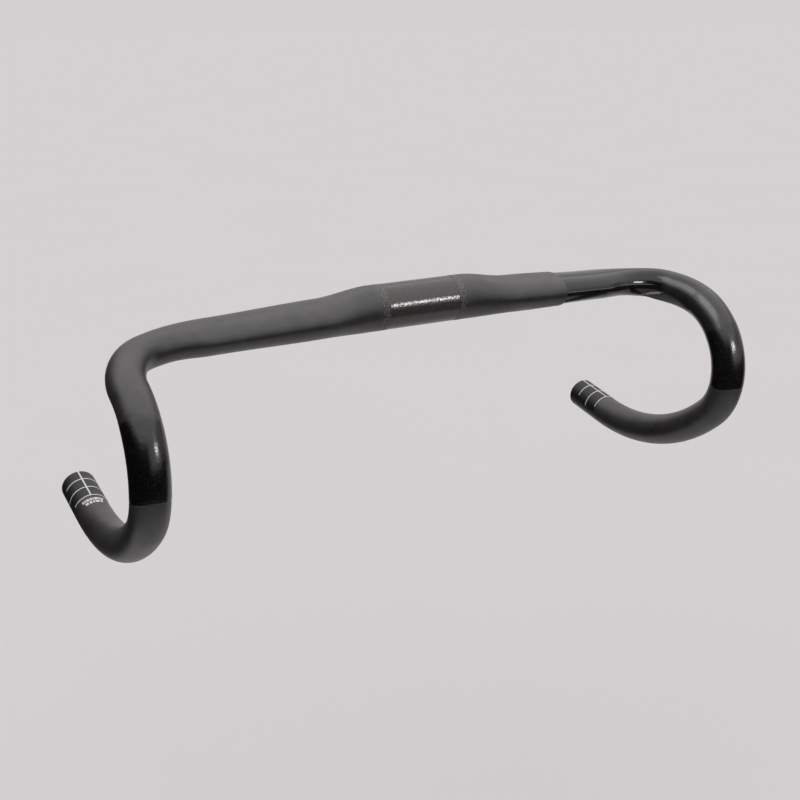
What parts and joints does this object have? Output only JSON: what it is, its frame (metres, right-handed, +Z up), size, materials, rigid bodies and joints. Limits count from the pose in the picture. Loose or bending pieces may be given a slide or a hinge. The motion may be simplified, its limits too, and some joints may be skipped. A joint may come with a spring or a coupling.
{
  "type": "drop handlebar",
  "caption": "Moulded drop handlebar with a round stem clamp zone, wing-shaped tops, compact hooks, lever grip bands and printed cutting guides on the ends.",
  "frame": {"origin": "middle of the stem clamp zone, on its axis", "axes": "+Z up, +X along the clamp axis towards the rider's left hand, -Y forwards"},
  "size_m": [0.463, 0.2003, 0.1651],
  "materials": {
    "matte_laminate": "matte clear-coated fibre laminate",
    "gloss_laminate": "glossy black clear-coated laminate",
    "bare_laminate": "bare moulded laminate inside the bar",
    "grit_coat": "clear coat with fine grit, semi-gloss",
    "grip_band": "speckled gloss black anti-slip band",
    "ring_print": "tone-on-tone grey print",
    "panel_print": "satin black film",
    "white_print": "pale grey-white print"
  },
  "bodies": {
    "root": {"clamp_core": "bare_laminate", "clamp_grip_coat": "grit_coat", "clamp_plies": "bare_laminate", "clamp_ring_left": "ring_print", "clamp_ring_right": "ring_print", "clamp_ferrule_left": "bare_laminate", "clamp_ferrule_right": "bare_laminate", "wing_left": "matte_laminate", "wing_right": "matte_laminate", "wing_ferrule_left": "bare_laminate", "wing_ferrule_right": "bare_laminate", "bend_left": "matte_laminate", "bend_right": "gloss_laminate", "drop_ferrule_left": "bare_laminate", "drop_ferrule_right": "bare_laminate", "drop_left": "matte_laminate", "drop_right": "matte_laminate", "lever_grip_left": "grip_band", "lever_grip_right": "grip_band", "end_panel_left": "panel_print", "end_panel_right": "panel_print", "cut_guide_left": "white_print", "cut_guide_right": "white_print", "size_mark_left": "white_print"}
  },
  "joints": []
}
